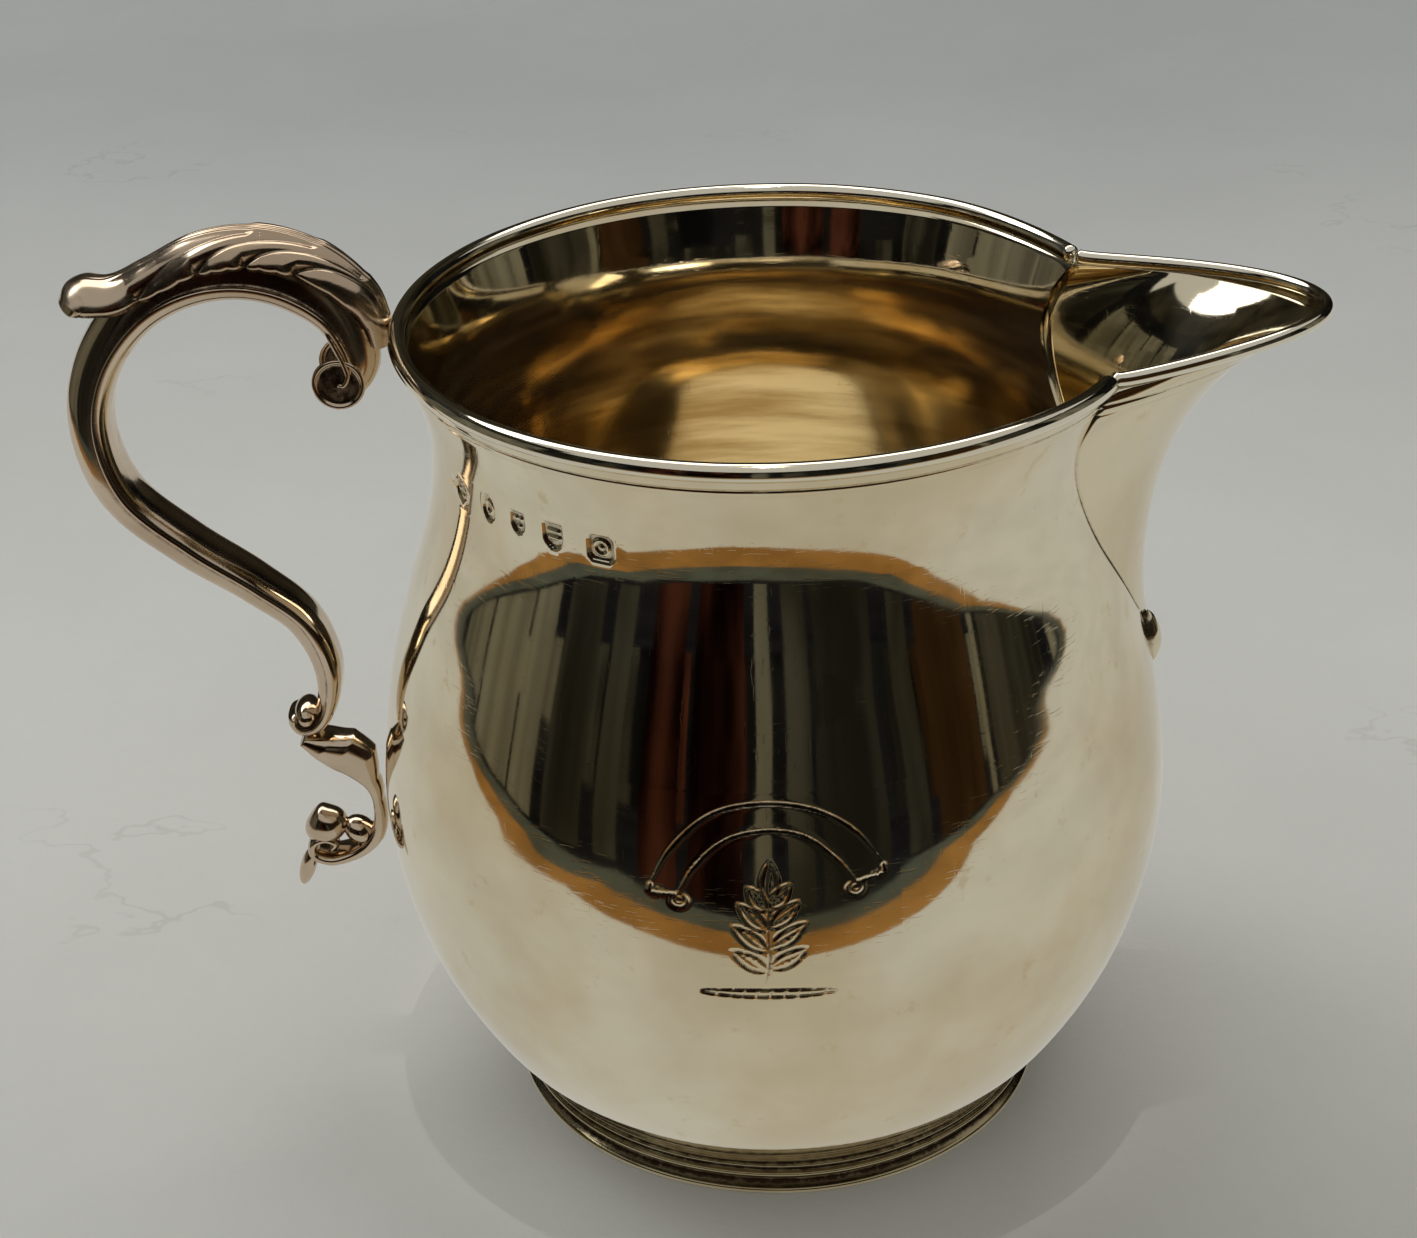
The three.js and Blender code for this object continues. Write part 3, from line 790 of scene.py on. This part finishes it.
shape = Shape()
plan = spout_side(LIP_HEIGHT, 0.45, 60)[0]
plan = smooth_line(plan[::2], 220)
plan = np.vstack([plan[0] + (plan[0] - plan[1]), plan, plan[-1] + (plan[-1] - plan[-2])])
from_end = np.minimum(np.arange(len(plan)), np.arange(len(plan))[::-1])
tuck = 0.45 * RIM_DIP * np.exp(-from_end / 2.5)
line = np.column_stack([plan, WIRE_HEIGHT - 0.12 + lip_rise(plan[:, 0]) + tuck])
shape.sheet(tube(line, rounded_ends(line, SPOUT_WIRE_RADIUS, 0.4)), around=True)
shape.finish("spout_bead", wire_silver, "spout_rim_wire")

# ---- Drop over the spout's foot ----

shape = Shape()
profile = smooth_line([[0.02, 3.1], [0.75, 2.5], [1.45, 0.9], [1.5, -0.6], [0.95, -2.2],
                       [0.35, -3.2], [0.02, -3.7]], 40)
a, r, z = lathe(profile, 48)
DROP_MIDDLE = (40.2, -0.95, 51.5)
points = np.stack([-0.09 * z + 0.85 * r * np.cos(a), r * np.sin(a), z], axis=-1) + DROP_MIDDLE
# Painted shade: the drop darkens on its sides and on its back towards the wall.
shape.sheet(points, around=True, cavity=0.7 * smoothstep(0.9, -0.6, np.cos(a)))
shape.finish("drop", drop_silver, "spout_drop")

# ---- Handle ----

VOLUTE = (-43.1, 83.1)
handle_line = smooth_line([
    [-43.3, 82.9], [-42.5, 83.2], [-42.0, 84.6], [-42.6, 87.2], [-44.2, 89.9],
    [-47.8, 92.4], [-52.5, 93.5], [-57.5, 92.8], [-62.6, 90.0], [-66.8, 84.6], [-68.4, 78.2],
    [-66.5, 70.6], [-60.6, 64.6], [-54.0, 59.6], [-49.2, 55.2], [-47.3, 50.0], [-47.5, 46.0],
    [-48.5, 43.4], [-49.6, 42.3], [-50.8, 42.1], [-51.5, 42.9], [-51.5, 43.6],
], 420)


def strap_section(rib, bulge, half):
    """The strap's section: a crowned inner face, a bead along the edge, a groove, and a high rib
    along the back, drawn for one half and mirrored to the other."""
    side = smooth_line([[-1, 0], [-0.97, 0.4], [-0.8, 0.72], [-0.42, 0.93], [0.0, 1.0], [0.28, 0.97],
                        [0.36, 0.87], [0.2, 0.79]], 24)
    rise = smooth_line([[0.05, 0.72], [0.34, 0.68], [0.68, 0.55], [0.92, 0.31], [1.0, 0.0]], 16)
    inner = np.column_stack([np.where(side[:, 0] < 0, side[:, 0] * bulge, side[:, 0] * min(1.0, rib / 2)),
                             side[:, 1] * half])
    crest = np.column_stack([rise[:, 0] * rib, rise[:, 1] * half])
    near = np.vstack([inner, crest])
    far = near[::-1][1:-1] * [1, -1]
    return np.vstack([near, far])


shape = Shape()
where = np.linspace(0, 1, len(handle_line))
ribs = graded([2.4, 3.7, 4.3, 4.7, 4.5, 3.9, 3.5, 3.4, 3.35, 3.35, 3.3, 3.2, 3.0, 2.8, 2.5, 2.0,
               1.2, 0.7], where)
bulges = graded([0.9, 1.5, 1.6, 1.5, 1.3, 1.2, 1.2, 1.2, 0.8], where)
halves = graded([3.1, 3.4, 3.4, 3.4, 3.4, 3.3, 3.1, 2.8, 2.4], where)
sections = np.stack([strap_section(r, b, h) for r, b, h in zip(ribs, bulges, halves)])
grid = swept(handle_line, sections)
grid += 0.03 * hammer(grid)[..., None]
unit = strap_section(1.0, 1.0, 1.0)
groove = hump(np.abs(unit[:, 1]) - 0.76, 0.09) * (unit[:, 0] > 0.0) * (unit[:, 0] < 0.35)
shape.sheet(grid, around=True, cavity=np.broadcast_to(0.75 * groove, grid.shape[:2]))
shape.cap(grid[0])
shape.cap(grid[-1])


def roll(shape, centre, radius, half_width, bead):
    """A scroll's heart: a drum across the strap, its ends dished inside a raised bead."""
    rim = bead * np.array([[0, -1.0], [-0.3, -0.2], [-0.75, 0.0], [-1.25, -0.15], [-1.8, -0.7]])
    end = smooth_line(np.vstack([rim + [radius, half_width], [[radius * 0.45, half_width - 0.75 * bead],
                                                             [0.02, half_width - 0.5 * bead]]]), 30)
    profile = np.vstack([end * [1, -1], end[::-1]])[::-1]
    a, r, y = lathe(profile, 64)
    grid = np.stack([centre[0] + r * np.cos(a), y, centre[1] + r * np.sin(a)], axis=-1)
    dark_share = 0.75 * smoothstep(radius - 1.4 * bead, radius - 2.4 * bead, r) * (np.abs(y) > half_width - bead)
    shape.sheet(grid, around=True, cavity=dark_share)


roll(shape, VOLUTE, 2.75, 3.25, 0.34)
for side in (1, -1):
    hook = smooth_line([[-43.9, 89.0], [-42.9, 86.6], [-42.3, 85.0], [-42.1, 83.9], [-42.6, 83.0],
                        [-43.2, 83.1]], 60)
    ahead = headings(hook)
    turn = np.linspace(0, 2 * math.pi, 12, endpoint=False)
    thick = (0.3 * np.sqrt(np.clip(1 - np.linspace(-1, 1, 60) ** 8, 0.02, 1)))[:, None]
    x = hook[:, :1] + thick * ahead[:, 1:] * np.cos(turn)
    z = hook[:, 1:] - thick * ahead[:, :1] * np.cos(turn)
    y = side * (3.05 + 1.2 * thick * np.sin(turn))
    shape.sheet(np.stack([x, y, z], axis=-1), around=True)
shape.sheet(ball((-50.3, 0, 43.5), (1.45, 2.75, 1.5)), around=True, cavity=0.12)
shape.finish("handle_strap", cast_silver, "handle_scroll")

# ---- Leaf ----

leaf_line = smooth_line([
    [-37.9, 86.2], [-37.6, 89.2], [-38.4, 92.2], [-40.6, 95.0], [-43.8, 97.4], [-48.2, 99.0],
    [-52.5, 99.3], [-57.2, 98.3], [-62.2, 95.8], [-65.8, 94.2], [-68.4, 94.3], [-70.2, 93.5], [-70.9, 92.3],
], 400)
LEAF_LENGTH = run_length(leaf_line)[-1]
LEAF_SPREAD = math.radians(78)

# Where each vein starts at the leaf's edge, and where it dies out by the crest, as shares of the
# leaf's length from its rim end; and how deep it is cut.
VEINS = ((0.355, 0.10, 0.40), (0.50, 0.20, 0.45), (0.64, 0.34, 0.45), (0.81, 0.50, 0.30))
VEIN_STEPS = 60


def vein_line(edge, end):
    """A vein from the leaf's edge to the crest as (share of length, share of half width)."""
    t = np.linspace(0, 1, VEIN_STEPS)
    return np.column_stack([edge + (end - edge) * t ** 1.25, 1.02 - 0.78 * t ** 0.62])


def leaf_relief(s, t, half_arc):
    """Height of the leaf's outer face above its plain shell, and its cavity, in millimetres."""
    tree = kdtree.KDTree(VEIN_STEPS * len(VEINS))
    cuts = []
    for edge, end, depth in VEINS:
        for k, (vs, vt) in enumerate(vein_line(edge, end)):
            tree.insert((vs * LEAF_LENGTH, vt * half_arc, 0), len(cuts))
            cuts.append(depth * (0.22 + 0.78 * math.exp(-(k / 14) ** 2)))
    tree.balance()
    relief, cavity = np.zeros(s.shape), np.zeros(s.shape)
    for i in np.ndindex(s.shape):
        _, k, far = tree.find((s[i] * LEAF_LENGTH, abs(t[i]) * half_arc, 0))
        width = 0.13 + 0.42 * cuts[k]
        relief[i] = 0.22 * (1 - math.exp(-(far / 0.9) ** 2)) - cuts[k] * math.exp(-(far / width) ** 2)
        cavity[i] = (0.25 + 1.9 * cuts[k]) * math.exp(-(far / (0.8 * width)) ** 2)
    plain = smoothstep(0.96, 0.78, s)
    for at, height in ((0.05, 0.13), (0.16, 0.10)):
        relief += height * hump(np.abs(t) - at, 0.04) * plain
    for at in (0.0, 0.105):
        cavity += 0.3 * hump(np.abs(t) - at, 0.025) * plain
    return relief, np.clip(cavity, 0, 1)


def leaf_edge(s):
    """How far the leaf reaches to its side at each place: lobes that end in notches."""
    notches = np.array([0.0] + [edge for edge, _, _ in VEINS] + [1.0])
    reach = np.ones(s.shape)
    for low, high in zip(notches, notches[1:]):
        inside = (s >= low) & (s <= high)
        share = (s[inside] - low) / (high - low)
        lobe = np.sqrt(np.clip(1 - np.abs(2 * share - 1) ** 3, 0, 1))
        scallop = 0.03 * np.abs(np.sin(3 * math.pi * share))
        reach[inside] = 0.9 + 0.1 * lobe + scallop
    return reach


shape = Shape()
s = np.linspace(0, 1, 400)
t = np.linspace(-1, 1, 101)
widths = graded([1.6, 2.6, 3.3, 3.6, 3.75, 3.75, 3.65, 3.4, 3.1, 3.0, 3.7, 3.9], s)
drops = graded([1.6, 2.8, 3.4, 3.5, 3.6, 3.5, 3.3, 3.0, 2.7], s)
S, T = np.meshgrid(s, t, indexing="ij")
relief, cavity = leaf_relief(S, T, 4.6)
reach = leaf_edge(S)
angle = T * LEAF_SPREAD * (1 + (reach - 1) * smoothstep(0.5, 1.0, np.abs(T)))
out = drops[:, None] * (np.cos(angle) - 1) - 0.36 + relief
across = widths[:, None] * np.sin(angle) + relief * np.sin(angle)
edge_roll = np.clip(1 - (1 - np.abs(T)) / 0.03, 0, 1)
out -= 0.18 * edge_roll ** 2
upper = swept(leaf_line, np.stack([out, across], axis=-1))
lower_out = drops[:, None] * (np.cos(angle) - 1) - 0.95
lower = swept(leaf_line, np.stack([lower_out, (widths[:, None] - 0.35) * np.sin(angle)], axis=-1))
shape.sheet(upper, cavity=cavity)
# Painted shade: the leaf's underside is darkened all over.
shape.sheet(lower, cavity=0.6)
for k in (0, -1):
    shape.sheet(np.stack([upper[:, k], lower[:, k]]), cavity=0.2)
    shape.sheet(np.stack([upper[k], lower[k]]), cavity=0.2)
shape.finish("leaf", leaf_silver, "handle_leaf")

# ---- Bracket ----

bracket_line = smooth_line([
    [-51.0, 40.5], [-48.4, 38.3], [-45.9, 36.4], [-44.0, 34.0], [-43.5, 31.4], [-43.8, 28.8],
    [-45.0, 26.9], [-47.0, 25.6], [-49.4, 25.1], [-51.1, 26.0], [-51.0, 27.3], [-49.7, 27.9],
    [-48.6, 27.2], [-49.1, 26.5],
], 200)


def oval(depth_out, depth_in, half, sides=36):
    """A section with fuller, flatter faces than an ellipse."""
    a = np.linspace(0, 2 * math.pi, sides, endpoint=False)
    c, w = np.cos(a), np.sin(a)
    c, w = np.sign(c) * np.abs(c) ** 0.7, np.sign(w) * np.abs(w) ** 0.7
    return np.column_stack([np.where(c > 0, depth_out, depth_in) * c, half * w])


shape = Shape()
where = np.linspace(0, 1, len(bracket_line))
outs = graded([0.5, 0.8, 0.9, 0.8, 0.6, 0.6, 0.65, 0.7, 0.7, 0.7, 0.7, 0.6, 0.5, 0.3], where)
ins = graded([1.0, 2.4, 3.7, 3.5, 1.3, 0.7, 0.9, 1.1, 0.9, 0.7, 0.6, 0.6, 0.5, 0.3], where)
wide = graded([2.3, 2.5, 2.3, 1.9, 1.6, 1.5, 1.6, 1.8, 2.0, 2.1, 2.2, 2.2, 2.1, 1.8], where)
grid = swept(bracket_line, np.stack([oval(o, i, w) for o, i, w in zip(outs, ins, wide)]))
shape.sheet(grid, around=True, cavity=0.15)
shape.cap(grid[0])
shape.cap(grid[-1])
shape.finish("bracket", cast_silver, "bracket_scroll")

shape = Shape()
bud = ball((-49.6, 0, 28.9), (2.5, 2.3, 2.05), math.radians(-28))
bud[..., 2] += 0.5 * hump(bud[..., 0] + 50.2, 0.9) * smoothstep(28.5, 30.5, bud[..., 2])
shape.sheet(bud, around=True, cavity=0.05)
shape.sheet(ball((-45.9, 0, 28.2), (2.0, 1.8, 1.5), math.radians(35)), around=True, cavity=0.05)
shape.finish("bud", cast_silver, "bracket_bud")

shape = Shape()
shape.sheet(ball((-52.1, 0, 23.6), (0.9, 0.95, 2.6), math.radians(18)), around=True, cavity=0.05)
shape.finish("tail", cast_silver, "bracket_tail")

# ---- Stage: pale floor, and what the silver reflects ----

JUG = Vector((AXIS_X * MM, 0, 0))


def seen_by(obj, camera=False, mirror=True, light=False):
    """Says what sees a stage object: the camera, the silver, and the light."""
    obj.visible_camera = camera
    obj.visible_glossy = mirror
    obj.visible_diffuse = light
    obj.visible_shadow = light
    return obj


def flat(name, corners, material, height=0):
    """A level sheet from its corners, [x, y] in millimetres about the jug's axis."""
    mesh = bpy.data.meshes.new(name)
    points = np.array([[x, y, height] for x, y in corners], float)
    mesh.from_pydata(place(points).tolist(), [], [list(range(len(corners)))])
    mesh.materials.append(material)
    return link(name, mesh)


def edge_reach(outline, azimuth):
    """How far a closed outline lies from the jug's axis towards an azimuth in degrees."""
    ahead = np.array([math.cos(math.radians(azimuth)), math.sin(math.radians(azimuth))])
    reach = []
    for a, b in zip(outline, outline[1:] + outline[:1]):
        a, along = np.array(a, float), np.subtract(b, a)
        turn = ahead[0] * along[1] - ahead[1] * along[0]
        if abs(turn) > 1e-9:
            far = (a[0] * along[1] - a[1] * along[0]) / turn
            part = (a[0] * ahead[1] - a[1] * ahead[0]) / turn
            if far > 0 and 0 <= part <= 1:
                reach.append(far)
    return min(reach)


def wall(name, start, end, low, high, material, reach):
    """An upright card round the jug between two azimuths and two elevations, all in degrees."""
    azimuth = np.linspace(start, end, max(2, int(abs(end - start) / 3) + 2))
    distance = np.array([reach(a) for a in azimuth])
    a = np.radians(azimuth)
    points = np.vstack([np.column_stack([distance * np.cos(a), distance * np.sin(a),
                                         distance * math.tan(math.radians(up))]) for up in (low, high)])
    n = len(a)
    mesh = bpy.data.meshes.new(name)
    mesh.from_pydata(place(points).tolist(), [], [[i, i + 1, n + i + 1, n + i] for i in range(n - 1)])
    mesh.materials.append(material)
    return seen_by(link(name, mesh))


def glow(name, colour, mottle, scale, folds=1.0):
    """A card that shines evenly, with soft mottling; folds below 1 draw it out upwards."""
    n = Nodes(name)
    n.look("Base Color", (0, 0, 0, 1))
    n.look("Specular IOR Level", 0.0)
    dark = tuple(c * (1 - mottle) for c in colour)
    cloud = n.remap(n.noise(scale, 4, stretch=(1, 1, folds)), 0.36, 0.64)
    n.look("Emission Color", n.mix(cloud, dark, colour))
    n.look("Emission Strength", 1.0)
    return n.material


FAR_SHADE = (0.585, 0.605, 0.625)
NEAR_SHADE = (0.90, 0.89, 0.84)


def paper(name, colour):
    """Matt pale card with faint smudges and fibres, with painted shade that darkens it far off and at the
    near right.
    """
    n = Nodes(name)
    cloud = n.remap(n.noise(9, 5, 0.6), 0.3, 0.72)
    shade = n.mix(cloud, tuple(c * 0.93 for c in colour), colour)
    grain = n.remap(n.noise(420, 4, 0.7), 0.25, 0.8)
    shade = n.mix(grain, shade, n.mix(0.5, shade, (0.97, 0.97, 0.97), "MULTIPLY"))
    fibre = n.noise(7, 6, 0.62, stretch=(1, 1.6, 1), turn=(0, 0, 0.6))
    thread = n.remap(fibre, 0.495, 0.5)
    edge = n.remap(fibre, 0.501, 0.506, 1, 0)
    patch = n.remap(n.noise(12, 2), 0.56, 0.66)
    mark = n.times(n.times(n.times(thread, edge), patch), 0.16)
    # Painted shade: the card is darker far off and at the near right.
    shade = n.mix(n.slope((0.0, 1.0, 0.0), 0.06, 0.40), shade, n.mix(1.0, shade, FAR_SHADE, "MULTIPLY"))
    shade = n.mix(n.slope((0.6, -0.8, 0.0), 0.03, 0.14), shade, n.mix(1.0, shade, NEAR_SHADE, "MULTIPLY"))
    n.look("Base Color", n.mix(mark, shade, (0.16, 0.15, 0.13)))
    n.look("Roughness", 0.75)
    n.look("Specular IOR Level", 0.25)
    n.look("Normal", n.bump(n.noise(700, 4, 0.7), 0.00006))
    return n.material


FAR = 4000
square = [[-FAR, -FAR], [FAR, -FAR], [FAR, FAR], [-FAR, FAR]]
seen_by(flat("floor", square, paper("floor_card", (0.555, 0.555, 0.53))),
        camera=True, mirror=False, light=True)
sheet_outline = [[-128, -102], [-60, -116], [20, -121], [110, -128], [320, -138], [480, -50], [620, 300],
                 [500, 1500], [-700, 1500], [-420, 300], [-345, 80], [-260, -8], [-165, -55]]


def widened(outline, near_wider, nearer, far_wider):
    """An outline spread sideways, with its near part brought nearer to the viewer."""
    return [[x * near_wider, y - nearer] if y < 0 else [x * far_wider, y] for x, y in outline]


rug_outline = widened(sheet_outline, 1.06, 62, 1.2)
for name, outline, height, colour, mottle, scale in (
        ("white_sheet", sheet_outline, 0, (0.53, 0.53, 0.50), 0.08, 14),
        ("table_edge", widened(sheet_outline, 1, 34, 1.05), -1, (0.30, 0.155, 0.045), 0.25, 20),
        ("rug", rug_outline, -2, (0.075, 0.085, 0.07), 0.3, 20),
        ("dark_floor", square, -3, (0.010, 0.010, 0.012), 0.5, 3)):
    seen_by(flat(name, outline, glow(name, colour, mottle, scale), height))

night = glow("night", (0.009, 0.009, 0.009), 0.7, 3)
back = glow("back_wall", (0.034, 0.030, 0.020), 0.75, 3)
grey = glow("grey_panel", (0.150, 0.143, 0.105), 0.55, 14, 0.12)
dim = glow("dim_panel", (0.045, 0.043, 0.032), 0.8, 9, 0.2)
rust = glow("rust_curtain", (0.060, 0.020, 0.012), 0.97, 13, 0.2)
brown = glow("brown_door", (0.036, 0.019, 0.008), 0.7, 8, 0.3)
ROOM = 900
CARD_GAP = 20
wall("room", -222, 60, 0, 34.5, night, lambda a: ROOM)
wall("room_back", 40, 128, 0, 48, back, lambda a: ROOM + CARD_GAP)
wall("room_side", 120, 205, 0, 45, back, lambda a: ROOM + CARD_GAP)
PANELS = ((-205, -194, 28, grey), (-192, -182, 29, grey), (-181, -166, 28, grey), (-165, -156, 27, grey),
          (-152, -140, 25, dim), (-136, -130, 22, dim), (-124, -114, 30, rust), (-111, -97, 29, rust),
          (-94, -90, 26, grey), (-86, -80, 24, dim), (-78, -62, 20, dim), (-56, -50, 29, dim),
          (-47, -31, 28, brown), (-29, -27.5, 31, grey), (-26, -4, 31, dim), (0, 22, 29, grey))
for i, (start, end, top, stuff) in enumerate(PANELS):
    wall(f"panel_{i}", start, end, 0, top, stuff, lambda a: 1.03 * edge_reach(rug_outline, a))
    wall(f"far_panel_{i}", start, end, 0, top, stuff, lambda a: ROOM - CARD_GAP)
for i, (start, end, low) in enumerate(((-84, -74, 27), (-70, -58, 29), (-96, -88, 30.5), (-60, -52, 25))):
    wall(f"shelf_{i}", start, end, low, low + 1.5, dim, lambda a: ROOM - 2 * CARD_GAP)

# ---- Light ----

world = bpy.data.worlds.new("room_light")
bpy.context.scene.world = world
world.use_nodes = True
sky = world.node_tree.nodes["Background"].inputs
sky["Color"].default_value = (0.82, 0.82, 0.80, 1)
sky["Strength"].default_value = 0.62


def lamp(name, size, spot, strength, colour=(1, 1, 1)):
    light = bpy.data.lights.new(name, "AREA")
    light.shape = "RECTANGLE"
    light.size, light.size_y = size
    light.energy = strength
    light.color = colour
    obj = link(name, light)
    obj.location = JUG + Vector(spot)
    aim = JUG + Vector((0, 0, 0.05)) - obj.location
    obj.rotation_euler = aim.to_track_quat("-Z", "Y").to_euler()


lamp("ceiling", (2.0, 0.7), (-0.2, 0.75, 1.25), 9.0, (1.0, 0.98, 0.94))
beam = bpy.data.lights.new("beam", "SPOT")
beam.energy = 44
beam.color = (1.0, 0.96, 0.88)
beam.spot_size = math.radians(3.1)
beam.spot_blend = 0.4
beam.shadow_soft_size = 0.02
link("beam", beam).location = JUG + Vector((0.0, 0.0, 1.3))
lamp("window", (0.6, 0.8), (-1.0, 0.5, 0.9), 4.0, (0.94, 0.97, 1.0))

# ---- Camera ----

CAMERA_PLACE = Vector((AXIS_X, -262.441, 195.064)) * MM
camera_data = bpy.data.cameras.new("camera")
camera_data.lens = 71.13
camera_data.sensor_width = 36.0
camera_data.clip_start, camera_data.clip_end = 0.01, 20
camera = link("camera", camera_data)
yaw, pitch, tilt = (math.radians(v) for v in (-1.43, 28.27, 1.71))
ahead = Vector((math.sin(yaw) * math.cos(pitch), math.cos(yaw) * math.cos(pitch), -math.sin(pitch)))
level = Vector((math.cos(yaw), -math.sin(yaw), 0))
right = Matrix.Rotation(tilt, 3, ahead) @ level
up = right.cross(ahead)
turned = Matrix((right, up, -ahead)).transposed().to_4x4()
camera.matrix_world = Matrix.Translation(CAMERA_PLACE) @ turned
bpy.context.scene.camera = camera
bpy.context.scene.view_settings.view_transform = "Standard"
